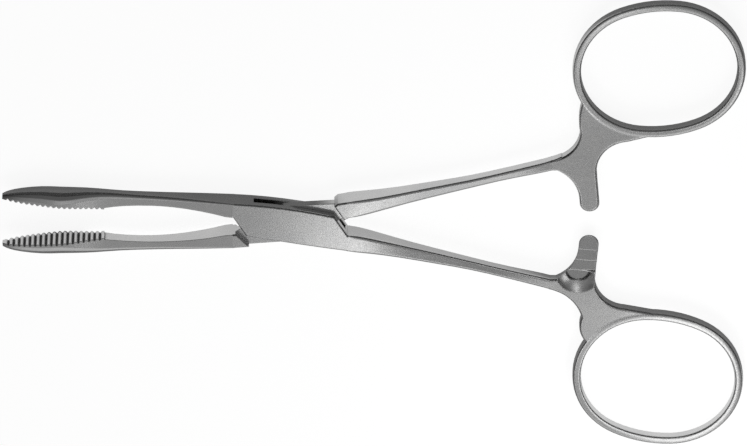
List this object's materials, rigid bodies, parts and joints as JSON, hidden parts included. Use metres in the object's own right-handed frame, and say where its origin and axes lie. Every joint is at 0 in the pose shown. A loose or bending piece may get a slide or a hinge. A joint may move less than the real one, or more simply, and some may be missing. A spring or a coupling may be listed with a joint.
{
  "type": "haemostatic forceps",
  "caption": "Box-lock locking forceps with straight leaf-shaped serrated jaws, slim shanks, a ratchet catch and oval finger rings, standing part open.",
  "frame": {"origin": "on the pivot's axis, in the plane of the box lock's back plate", "axes": "+X runs to the finger rings and -X to the jaw tips, +Y to the tongue half's ring, +Z along the pivot out of the front plate, which carries the picture's view"},
  "size_m": [0.1402, 0.0956, 0.005],
  "materials": {
    "box_steel": "satin stainless steel, glass-bead blasted",
    "tongue_steel": "satin stainless steel, glass-bead blasted",
    "pin_steel": "satin stainless steel, ground flush with the plates"
  },
  "bodies": {
    "box_side": {"box_half": "box_steel", "pivot_pin": "pin_steel"},
    "tongue_side": {"tongue_half": "tongue_steel"}
  },
  "joints": [
    {"name": "pivot", "type": "hinge", "parent": "box_side", "child": "tongue_side", "pos_m": [0, 0, 0.0021], "axis": [0, 0, 1], "range_deg": [-10, 50]}
  ]
}
